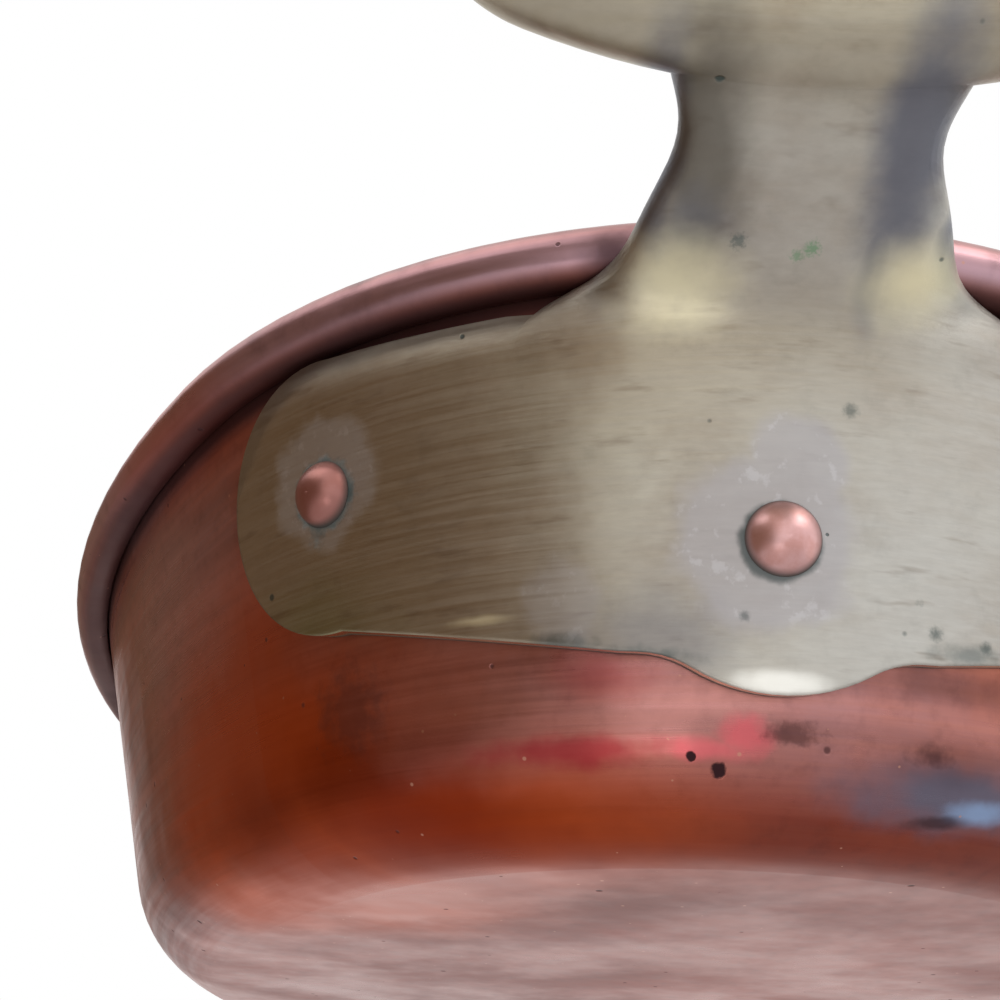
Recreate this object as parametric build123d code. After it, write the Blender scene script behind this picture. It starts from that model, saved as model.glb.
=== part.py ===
"""Oval gratin dish with two riveted handles.

A sheet copper dish whose flared wall is rolled over a rim wire, a thin tin
lining, and a cast brass handle on each end. Each handle is a lobed flange that
lies on the wall, a neck that bends out over the rolled rim, and an oval ear.
Lengths are in millimetres and angles in degrees. The handles lie along X and
the dish rests on z = 0.
"""

import os
from dataclasses import dataclass
from math import atan2, cos, degrees, radians, sin, sqrt

from build123d import *

# Rim oval, measured at the centre of the rolled bead
RIM_HALF_LENGTH = 150.0
RIM_HALF_WIDTH = 103.0
RIM_END_RADIUS = 80.0
RIM_HEIGHT = 54.0

# Sheet, wall and rolled rim
COPPER = 1.5
TIN = 0.3
WALL_FLARE = 17.0
BASE_CORNER_RADIUS = 16.0
WIRE_RADIUS = 1.65
WIRE_CLEARANCE = 0.05
LIP_GAP = 0.3

# Handle flange on the end wall, with distances down the slant of the wall
PLATE = 2.8
PAD_RADIUS = 15.1
SIDE_RIVET_ANGLE = 37.7
SIDE_RIVET_DROP = 19.2
MIDDLE_RIVET_DROP = 29.3
MIDDLE_TOP_DROP = 5.3
MIDDLE_TOP_ANGLE = 20.0
APRON_DROP = 40.4
APRON_HALF_WIDTH = 15.0
APRON_TIP_DROP = 43.9
APRON_TIP_RADIUS = 17.0
APRON_NOTCH_RADIUS = 10.0
APRON_BITE = 0.6

# Neck that clears the rolled rim, then the oval ear
EAR_RISE = 26.0
NECK_BEND_RADIUS = 9.0
NECK_THICKNESS = 3.0
NECK_CLEARANCE = 0.3
NECK_ROOT_DEPTH = 5.0
NECK_ROOT_SINK = 0.35
NECK_CROWN = 0.88
NECK_ROOT_HALF_WIDTH = 25.5
NECK_BEND_HALF_WIDTH = 22.9
NECK_RIM_HALF_WIDTH = 14.2
NECK_WAIST_HALF_WIDTH = 11.8
NECK_END_HALF_WIDTH = 9.6
NECK_EDGE_BULGE = 0.4
EAR_START = 22.0
EAR_HALF_LENGTH = 33.0
EAR_HALF_DEPTH = 15.0
EAR_END_RADIUS = 11.5
EAR_BAR_WIDTH = 9.0
EAR_BAR_THICKNESS = 6.6

# Rivets
SHANK_RADIUS = 2.2
SHANK_CLEARANCE = 0.05
HEAD_RADIUS = 3.65
HEAD_HEIGHT = 2.5
TAIL_RADIUS = 4.2
TAIL_HEIGHT = 1.1

# Sizes that follow from the ones above
TUBE_RADIUS = WIRE_RADIUS + WIRE_CLEARANCE
BEAD_RADIUS = TUBE_RADIUS + COPPER
FLARE_SIN, FLARE_COS = sin(radians(WALL_FLARE)), cos(radians(WALL_FLARE))
RISE_SIN, RISE_COS = sin(radians(EAR_RISE)), cos(radians(EAR_RISE))
END_CENTRE_X = RIM_HALF_LENGTH - RIM_END_RADIUS
FLANGE_FACE = TUBE_RADIUS - PLATE
FLANGE_TOP = SIDE_RIVET_DROP - PAD_RADIUS
UP_AXIS = (0, 0, 1)


@dataclass(frozen=True)
class RimArc:
    """One of the four arcs of an oval: centre, radius, start angle and sweep."""

    centre: tuple
    radius: float
    start: float
    sweep: float


def oval_arcs(half_length: float, half_width: float, end_radius: float) -> list:
    """Return the four tangent arcs of an oval, counterclockwise from the +X end."""
    end_x = half_length - end_radius
    side_radius = (end_x**2 + half_width**2 - end_radius**2) / (2 * (half_width - end_radius))
    side_y = side_radius - half_width
    half_end = degrees(atan2(side_y, end_x))
    half_side = 90 - half_end
    return [
        RimArc((end_x, 0), end_radius, -half_end, 2 * half_end),
        RimArc((0, -side_y), side_radius, half_end, 2 * half_side),
        RimArc((-end_x, 0), end_radius, 180 - half_end, 2 * half_end),
        RimArc((0, side_y), side_radius, 180 + half_end, 2 * half_side),
    ]


def oval_wire(arcs: list, offset: float = 0.0) -> Wire:
    """Join the arcs of an oval, moved outward by offset, into one closed wire."""
    edges = []
    for arc in arcs:
        radius = arc.radius + offset
        spots = []
        for share in (0, 0.5, 1):
            turn = radians(arc.start + share * arc.sweep)
            spots.append((arc.centre[0] + radius * cos(turn), arc.centre[1] + radius * sin(turn)))
        edges.append(ThreePointArc(*spots))
    return Wire(edges)


RIM_ARCS = oval_arcs(RIM_HALF_LENGTH, RIM_HALF_WIDTH, RIM_END_RADIUS)
END_ARC = RIM_ARCS[0]


def radial_plane(arc: RimArc, turn: float) -> Plane:
    """Plane through an arc's axis at an angle, with x outward and y upward."""
    way = radians(turn)
    return Plane(
        origin=(arc.centre[0], arc.centre[1], 0),
        x_dir=(cos(way), sin(way), 0),
        z_dir=(sin(way), -cos(way), 0),
    )


def turned(profile: Sketch, arc: RimArc, start: float, sweep: float) -> Part:
    """Revolve a profile, drawn from the bead centre outward, about an arc's axis."""
    axis = Axis((arc.centre[0], arc.centre[1], 0), UP_AXIS)
    return revolve(radial_plane(arc, start) * Pos(arc.radius, 0) * profile, axis, sweep)


def around_rim(profile: Sketch) -> Part:
    """Carry a profile around all four arcs of the rim and join the runs."""
    runs = [turned(profile, arc, arc.start, arc.sweep) for arc in RIM_ARCS]
    return runs[0].fuse(*runs[1:])


def on_wall(depth: float, drop: float) -> tuple:
    """Point of the wall's section, from the bead centre.

    Depth runs square to the wall toward the inside, and the wall's outer face is
    at TUBE_RADIUS. Drop runs down the slant of the wall.
    """
    return (
        -depth * FLARE_COS - drop * FLARE_SIN,
        RIM_HEIGHT + depth * FLARE_SIN - drop * FLARE_COS,
    )


def corner_centre() -> tuple:
    """Centre of the round corner between the wall and the base."""
    rise = RIM_HEIGHT - BASE_CORNER_RADIUS
    reach = (TUBE_RADIUS + BASE_CORNER_RADIUS + FLARE_SIN * rise) / FLARE_COS
    return (-reach, BASE_CORNER_RADIUS)


CORNER = corner_centre()


def skin(near: float, far: float, top: list) -> Sketch:
    """Section of a sheet that follows the wall, the corner and the base's edge.

    Near and far are the depths of its outer and inner faces, and top holds the
    edges that close it above, from the outer face to the inner one.
    """
    edges = [*top]
    for depth, end in ((near, top[0] @ 0), (far, top[-1] @ 1)):
        radius = BASE_CORNER_RADIUS + TUBE_RADIUS - depth
        middle = radians(-(90 + WALL_FLARE) / 2)
        foot = (CORNER[0], CORNER[1] - radius)
        bend = (CORNER[0] + radius * cos(middle), CORNER[1] + radius * sin(middle))
        side = (CORNER[0] + radius * FLARE_COS, CORNER[1] - radius * FLARE_SIN)
        edges += [ThreePointArc(foot, bend, side), Line(side, (end.X, end.Y))]
    base_edge_low = (CORNER[0], CORNER[1] - BASE_CORNER_RADIUS - TUBE_RADIUS + near)
    base_edge_high = (CORNER[0], base_edge_low[1] + far - near)
    edges.append(Line(base_edge_low, base_edge_high))
    return make_face(edges)


def base_plate(near: float, far: float) -> Part:
    """Flat of the base inside the round corner, for the same depths as skin."""
    floor = make_face(oval_wire(RIM_ARCS, CORNER[0]).edges())
    return Pos(0, 0, near - TUBE_RADIUS) * extrude(floor, far - near)


def bead_spot(radius: float, turn: float) -> tuple:
    """Point on a circle about the bead centre, at an angle from outward."""
    return (radius * cos(radians(turn)), RIM_HEIGHT + radius * sin(radians(turn)))


def rolled_rim() -> list:
    """Edges of the sheet rolled over the wire, from the outer to the inner face."""
    start = 180 - WALL_FLARE
    lip_depth = TUBE_RADIUS - LIP_GAP
    inner_lip = on_wall(lip_depth, sqrt(TUBE_RADIUS**2 - lip_depth**2))
    outer_lip = on_wall(lip_depth, sqrt(BEAD_RADIUS**2 - lip_depth**2))
    return [
        ThreePointArc(bead_spot(TUBE_RADIUS, start), bead_spot(TUBE_RADIUS, 10), inner_lip),
        Line(inner_lip, outer_lip),
        ThreePointArc(outer_lip, bead_spot(BEAD_RADIUS, 10), bead_spot(BEAD_RADIUS, start)),
    ]


def make_shell() -> Part:
    """Copper dish: base, round corner, flared wall and rolled rim in one sheet."""
    inner = TUBE_RADIUS + COPPER
    wall = around_rim(skin(TUBE_RADIUS, inner, rolled_rim()))
    return wall + base_plate(TUBE_RADIUS, inner)


def make_lining() -> Part:
    """Tin on the inside of the copper, up to where the rim starts to roll."""
    outer = TUBE_RADIUS + COPPER
    inner = outer + TIN
    top = [Line(on_wall(outer, 0), on_wall(inner, 0))]
    return around_rim(skin(outer, inner, top)) + base_plate(outer, inner)


def make_wire() -> Part:
    """Closed wire inside the rolled rim."""
    return around_rim(Pos(0, RIM_HEIGHT) * Circle(WIRE_RADIUS))


def slab(outer: float, inner: float, top: float, bottom: float, half_angle: float) -> Part:
    """Piece of the end wall's cone between two depths and two drops."""
    corners = [on_wall(outer, top), on_wall(inner, top), on_wall(inner, bottom), on_wall(outer, bottom)]
    return turned(Polygon(*corners, align=None), END_ARC, -half_angle, 2 * half_angle)


def wall_plane(turn: float, drop: float, depth: float = TUBE_RADIUS) -> Plane:
    """Plane on the end wall with x along the rim, y up the slant and z outward."""
    reach, height = on_wall(depth, drop)
    way = radians(turn)
    radius = RIM_END_RADIUS + reach
    return Plane(
        origin=(END_CENTRE_X + radius * cos(way), radius * sin(way), height),
        x_dir=(-sin(way), cos(way), 0),
        z_dir=(FLARE_COS * cos(way), FLARE_COS * sin(way), -FLARE_SIN),
    )


def seen_square(turn: float, drop: float) -> tuple:
    """Place of a point of the flange's face in a view square to the wall's middle."""
    spot = wall_plane(0, 0).to_local_coords(wall_plane(turn, drop, FLANGE_FACE).origin)
    return (spot.X, spot.Y)


def flange_outline() -> Sketch:
    """Flange without its pads, seen square to the middle of the end wall."""
    pad_x, pad_y = seen_square(SIDE_RIVET_ANGLE, SIDE_RIVET_DROP)
    top_x, top_y = seen_square(MIDDLE_TOP_ANGLE, MIDDLE_TOP_DROP)
    lean = atan2(pad_y - PAD_RADIUS + APRON_DROP, pad_x - APRON_HALF_WIDTH)
    bite = PAD_RADIUS - APRON_BITE
    half = [
        (top_x, top_y),
        seen_square(SIDE_RIVET_ANGLE, FLANGE_TOP),
        (pad_x, pad_y),
        (pad_x - bite * sin(lean), pad_y - bite * cos(lean)),
        (APRON_HALF_WIDTH, -APRON_DROP),
    ]
    corners = half + [(-x, y) for x, y in reversed(half)]
    tip = Pos(0, APRON_TIP_RADIUS - APRON_TIP_DROP) * Circle(APRON_TIP_RADIUS)
    apron = make_face(Polyline(*corners, close=True)) + tip
    notches = [v for v in apron.vertices() if abs(v.X) < APRON_HALF_WIDTH - 1 and v.Y < 1 - APRON_DROP]
    return fillet(notches, APRON_NOTCH_RADIUS)


def make_flange() -> Part:
    """Lobed plate on the end wall: two round pads with an apron between them."""
    blank = slab(FLANGE_FACE, TUBE_RADIUS, FLANGE_TOP - 1, APRON_TIP_DROP + 1, END_ARC.sweep / 2)
    pads = [
        wall_plane(turn, SIDE_RIVET_DROP) * Cylinder(PAD_RADIUS, 4 * PLATE)
        for turn in (-SIDE_RIVET_ANGLE, SIDE_RIVET_ANGLE)
    ]
    apron = wall_plane(0, 0) * extrude(flange_outline(), RIM_END_RADIUS / 3, both=True)
    return blank & apron.fuse(*pads)


def ear_plane() -> Plane:
    """Plane of the ear through the bead centre, with x along Y and y outward."""
    return Plane(
        origin=(RIM_HALF_LENGTH, 0, RIM_HEIGHT),
        x_dir=(0, 1, 0),
        z_dir=(RISE_SIN, 0, -RISE_COS),
    )


def neck_section(spot: tuple, lean: float, half_width: float, crown: float, thickness: float) -> Face:
    """Section of the neck, square to its path: a curved bar with its crown outward.

    Args:
        spot: outer face of the neck at the handle's middle, from the bead centre.
        lean: the path's angle above the horizontal.
        half_width: half the width along Y.
        crown: radius of the outer face across the neck.
        thickness: thickness at the middle.
    """
    way = radians(lean)
    place = Plane(
        origin=(RIM_HALF_LENGTH + spot[0], 0, spot[1]),
        x_dir=(0, 1, 0),
        z_dir=(cos(way), 0, sin(way)),
    )
    sag = crown - sqrt(crown**2 - half_width**2)
    side = half_width + NECK_EDGE_BULGE * thickness
    outer = ThreePointArc((-half_width, sag), (0, 0), (half_width, sag))
    inner = ThreePointArc((half_width, sag + thickness), (0, thickness), (-half_width, sag + thickness))
    right = ThreePointArc(outer @ 1, (side, sag + thickness / 2), inner @ 0)
    left = ThreePointArc(inner @ 1, (-side, sag + thickness / 2), outer @ 0)
    return place * make_face([outer, right, inner, left])


def make_neck() -> Part:
    """Loft that leaves the flange, bends out past the bead and reaches the ear."""
    turn = 90 - WALL_FLARE - EAR_RISE
    total = radians(WALL_FLARE + EAR_RISE)
    bead_reach = BEAD_RADIUS + NECK_CLEARANCE + NECK_THICKNESS
    lever = NECK_BEND_RADIUS - FLANGE_FACE
    bend_drop = (bead_reach + NECK_BEND_RADIUS - lever * sin(total)) / cos(total)
    pivot = on_wall(FLANGE_FACE - NECK_BEND_RADIUS, bend_drop)

    def bend_spot(turned_by: float) -> tuple:
        way = radians(90 - WALL_FLARE - turned_by)
        return (pivot[0] - NECK_BEND_RADIUS * sin(way), pivot[1] + NECK_BEND_RADIUS * cos(way))

    def straight_spot(reach: float) -> tuple:
        return (
            bead_reach * RISE_SIN + reach * RISE_COS,
            RIM_HEIGHT - bead_reach * RISE_COS + reach * RISE_SIN,
        )

    upright = 90 - WALL_FLARE
    wall_crown = (RIM_END_RADIUS + pivot[0]) / FLARE_COS
    low = FLANGE_FACE + NECK_ROOT_SINK
    plate = PLATE - NECK_CLEARANCE
    root, bend, rim = NECK_ROOT_HALF_WIDTH, NECK_BEND_HALF_WIDTH, NECK_RIM_HALF_WIDTH
    waist, end = NECK_WAIST_HALF_WIDTH, NECK_END_HALF_WIDTH
    stations = [
        (on_wall(low, bend_drop + NECK_ROOT_DEPTH), upright, root, NECK_CROWN, plate - NECK_ROOT_SINK),
        (on_wall(FLANGE_FACE, bend_drop), upright, root, NECK_CROWN, plate),
        (bend_spot(turn / 2), upright - turn / 2, bend, 0.8, plate),
        (bend_spot(turn), EAR_RISE, 0.8 * rim + 0.2 * bend, 0.82, NECK_THICKNESS),
        (straight_spot(3), EAR_RISE, rim, 1.3, NECK_THICKNESS),
        (straight_spot(9), EAR_RISE, waist, 3, 1.15 * NECK_THICKNESS),
        (straight_spot(15), EAR_RISE, 0.5 * (waist + end), 4, 1.3 * NECK_THICKNESS),
        (straight_spot(EAR_START), EAR_RISE, end, 5, 1.5 * NECK_THICKNESS),
    ]
    sections = [
        neck_section(spot, lean, half_width, crown * wall_crown, thickness)
        for spot, lean, half_width, crown, thickness in stations
    ]
    return loft(sections)


def make_ear() -> Part:
    """Oval ring with an elliptical section, in the ear's plane."""
    middle = BEAD_RADIUS + NECK_CLEARANCE + NECK_THICKNESS / 2
    place = ear_plane() * Pos(0, EAR_START + EAR_HALF_DEPTH, middle)
    path = place * oval_wire(oval_arcs(EAR_HALF_LENGTH, EAR_HALF_DEPTH, EAR_END_RADIUS))
    start = path @ 0
    bar = Plane(origin=start, x_dir=ear_plane().z_dir, z_dir=path % 0)
    return sweep(bar * Ellipse(EAR_BAR_THICKNESS / 2, EAR_BAR_WIDTH / 2), path)


def make_handle() -> Part:
    """Whole cast handle at the +X end, relieved where it passes the bead."""
    handle = make_flange() + make_neck() + make_ear()
    bead = Pos(0, RIM_HEIGHT) * Circle(BEAD_RADIUS + NECK_CLEARANCE)
    relief = turned(bead, END_ARC, -END_ARC.sweep / 2, END_ARC.sweep)
    inside = slab(TUBE_RADIUS, TUBE_RADIUS + 12, -8, APRON_TIP_DROP + 8, END_ARC.sweep / 2)
    return handle - relief - inside


def rivet(turn: float, drop: float) -> Part:
    """Domed rivet through the flange, the copper and the tin at one place."""
    inner = TUBE_RADIUS + COPPER + TIN
    head_seat = wall_plane(turn, drop, FLANGE_FACE)
    tail_seat = wall_plane(turn, drop, inner)
    grip = inner - FLANGE_FACE
    ends = head_seat * dome(HEAD_RADIUS, HEAD_HEIGHT) + tail_seat * Rot(180, 0, 0) * dome(TAIL_RADIUS, TAIL_HEIGHT)
    reach = 2 * TAIL_RADIUS
    packed = slab(FLANGE_FACE, inner, drop - reach, drop + reach, turn_reach(turn))
    return (ends - packed) + head_seat * Pos(0, 0, -grip / 2) * Cylinder(SHANK_RADIUS, grip + 1)


def turn_reach(turn: float) -> float:
    """Half angle of a slab that covers a rivet at an angle from the handle's middle."""
    return abs(turn) + degrees(2 * TAIL_RADIUS / RIM_END_RADIUS)


def dome(radius: float, height: float) -> Part:
    """Spherical cap on z = 0 that carries on 0.5 below it, to be trimmed to its seat."""
    below = 0.5
    curve = (radius**2 + height**2) / (2 * height)
    edge = (radius, 0)
    middle = (curve * sin(atan2(radius, curve - height) / 2), height - curve + curve * cos(atan2(radius, curve - height) / 2))
    outline = [
        ThreePointArc((0, height), middle, edge),
        Polyline(edge, (radius, -below), (0, -below), (0, height)),
    ]
    return revolve(Plane.XZ * make_face(outline), Axis.Z)


RIVET_PLACES = {
    "front": (-SIDE_RIVET_ANGLE, SIDE_RIVET_DROP),
    "middle": (0, MIDDLE_RIVET_DROP),
    "back": (SIDE_RIVET_ANGLE, SIDE_RIVET_DROP),
}


def rivet_hole(turn: float, drop: float) -> Part:
    """Hole for a rivet's shank through the flange, the copper and the tin."""
    return wall_plane(turn, drop) * Cylinder(SHANK_RADIUS + SHANK_CLEARANCE, 6 * PLATE)


def make_parts() -> dict:
    """Build every piece of the dish at rest, by node name."""
    holes = [rivet_hole(*place) for place in RIVET_PLACES.values()]
    opposite = Rot(0, 0, 180)
    both_ends = holes + [opposite * hole for hole in holes]
    handle = make_handle().cut(*holes)
    parts = {
        "dish_shell": make_shell().cut(*both_ends),
        "tin_lining": make_lining().cut(*both_ends),
        "rim_wire": make_wire(),
        "right_handle": handle,
        "left_handle": opposite * handle,
    }
    for name, place in RIVET_PLACES.items():
        piece = rivet(*place)
        parts[f"right_{name}_rivet"] = piece
        parts[f"left_{name}_rivet"] = opposite * piece
    return parts


if __name__ == "__main__":
    os.makedirs("parts", exist_ok=True)
    for node, piece in make_parts().items():
        print(node, type(piece).__name__, len(piece.solids()), round(piece.volume, 1), piece.is_valid)
        export_step(piece, f"parts/{node}.step")
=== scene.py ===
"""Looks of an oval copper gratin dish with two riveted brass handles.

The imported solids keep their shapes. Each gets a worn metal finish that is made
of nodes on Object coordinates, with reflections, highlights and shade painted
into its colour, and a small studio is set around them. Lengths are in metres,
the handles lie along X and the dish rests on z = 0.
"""

import logging
import math
from dataclasses import dataclass
from enum import Enum

import bmesh
import bpy
from mathutils import Matrix, Vector

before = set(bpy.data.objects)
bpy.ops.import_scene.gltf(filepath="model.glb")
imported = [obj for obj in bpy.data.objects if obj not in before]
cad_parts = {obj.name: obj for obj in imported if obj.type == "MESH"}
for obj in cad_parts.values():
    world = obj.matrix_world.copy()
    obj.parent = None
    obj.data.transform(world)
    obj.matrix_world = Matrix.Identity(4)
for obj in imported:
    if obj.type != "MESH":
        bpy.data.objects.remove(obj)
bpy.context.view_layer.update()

LOG = logging.getLogger("gratin_dish")

Colour = tuple[int, int, int]
Point = tuple[float, float, float]
Socket = bpy.types.NodeSocket
Material = bpy.types.Material

RIM_END_X = 0.070
RIM_END_RADIUS = 0.080
RIM_SIDE_Y = 0.0950
RIM_SIDE_RADIUS = 0.1980
RIM_HEIGHT = 0.054
RIM_JOIN_SLOPE = 1.357
WALL_FLARE = math.radians(17.0)


def linear(colour: Colour) -> tuple[float, float, float, float]:
    """Turn an 8-bit display colour into the linear one that shaders take.

    Args:
        colour: red, green and blue from 0 to 255.

    Returns:
        Linear red, green and blue, and an alpha of 1.
    """
    shares = [part / 255 for part in colour]
    flat = [s / 12.92 if s <= 0.04045 else ((s + 0.055) / 1.055) ** 2.4 for s in shares]
    return (flat[0], flat[1], flat[2], 1.0)


class Graph:
    """Adds nodes to one tree from left to right, and links them."""

    def __init__(self, tree: bpy.types.NodeTree) -> None:
        """Start on a tree whose nodes have been cleared."""
        self.tree = tree
        self.count = 0

    def add(self, kind: str, **settings: object) -> bpy.types.Node:
        """Add one node.

        Args:
            kind: the node's class name.
            settings: plain properties to set on it.

        Returns:
            The new node.
        """
        node = self.tree.nodes.new(kind)
        node.location = (190 * (self.count // 4), -260 * (self.count % 4))
        self.count += 1
        for name, value in settings.items():
            setattr(node, name, value)
        return node

    def feed(self, socket: Socket, value: object) -> None:
        """Link a socket to another one, or set its plain value."""
        if isinstance(value, bpy.types.NodeSocket):
            self.tree.links.new(value, socket)
        elif value is not None:
            socket.default_value = value

    def maths(self, operation: str, *terms: object) -> Socket:
        """Work out one number from others.

        Args:
            operation: name of the Math node's operation.
            terms: sockets or numbers.

        Returns:
            The result's socket.
        """
        node = self.add("ShaderNodeMath", operation=operation)
        for socket, term in zip(node.inputs, terms):
            self.feed(socket, term)
        return node.outputs[0]

    def vectors(self, operation: str, *terms: object, out: int = 0) -> Socket:
        """Work out one vector, or a length with out=1, from others."""
        node = self.add("ShaderNodeVectorMath", operation=operation)
        for socket, term in zip(node.inputs, terms):
            self.feed(socket, term)
        return node.outputs[out]

    def step(self, value: Socket, low: object, high: object) -> Socket:
        """Smooth step from 0 at low to 1 at high."""
        node = self.add("ShaderNodeMapRange", interpolation_type="SMOOTHSTEP")
        for name, term in (("Value", value), ("From Min", low), ("From Max", high)):
            self.feed(node.inputs[name], term)
        return node.outputs[0]

    def fade(self, value: Socket, low: object, high: object) -> Socket:
        """Smooth step from 1 at low to 0 at high."""
        return self.maths("SUBTRACT", 1.0, self.step(value, low, high))

    def band(self, value: Socket, rise: tuple[float, float], fall: tuple[float, float]) -> Socket:
        """Mask that comes in over one range of a value and goes out over a later one."""
        return self.times(self.step(value, *rise), self.fade(value, *fall))

    def times(self, first: object, second: object) -> Socket:
        """Product of two numbers."""
        return self.maths("MULTIPLY", first, second)

    def plus(self, first: object, second: object) -> Socket:
        """Sum of two numbers."""
        return self.maths("ADD", first, second)

    def larger(self, *terms: Socket) -> Socket:
        """Largest of several numbers."""
        most = terms[0]
        for term in terms[1:]:
            most = self.maths("MAXIMUM", most, term)
        return most

    def between(self, mask: Socket, low: object, high: object) -> Socket:
        """Number that goes from low to high with a mask."""
        node = self.add("ShaderNodeMapRange")
        for name, term in (("Value", mask), ("To Min", low), ("To Max", high)):
            self.feed(node.inputs[name], term)
        return node.outputs[0]

    def tint(self, mask: object, under: object, over: object) -> Socket:
        """Lay one colour over another.

        Args:
            mask: how much of the upper colour shows.
            under: the lower colour.
            over: the upper colour.

        Returns:
            The mixed colour's socket.
        """
        node = self.add("ShaderNodeMix", data_type="RGBA")
        self.feed(node.inputs[0], mask)
        self.feed(node.inputs[6], under)
        self.feed(node.inputs[7], over)
        return node.outputs[2]

    def noise(
        self, place: Socket, scale: object, detail: float = 3.0, rough: float = 0.55
    ) -> Socket:
        """Soft noise on a position, from 0 to 1."""
        node = self.add("ShaderNodeTexNoise")
        self.feed(node.inputs["Vector"], place)
        self.feed(node.inputs["Scale"], scale)
        node.inputs["Detail"].default_value = detail
        node.inputs["Roughness"].default_value = rough
        return node.outputs[0]

    def effect(self, group: bpy.types.NodeTree, out: str = "Mask", **values: object) -> Socket:
        """Place a node group.

        Args:
            group: the effect's tree.
            out: name of the output wanted.
            values: sockets or plain values for its inputs, by name.

        Returns:
            The socket of that output.
        """
        node = self.add("ShaderNodeGroup")
        node.node_tree = group
        for name, value in values.items():
            self.feed(node.inputs[name], value)
        return node.outputs[out]


def new_material(name: str) -> tuple[Material, Graph]:
    """Make a material whose nodes have been cleared, with the graph to fill it by."""
    material = bpy.data.materials.new(name)
    material.use_nodes = True
    material.node_tree.nodes.clear()
    return material, Graph(material.node_tree)


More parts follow.
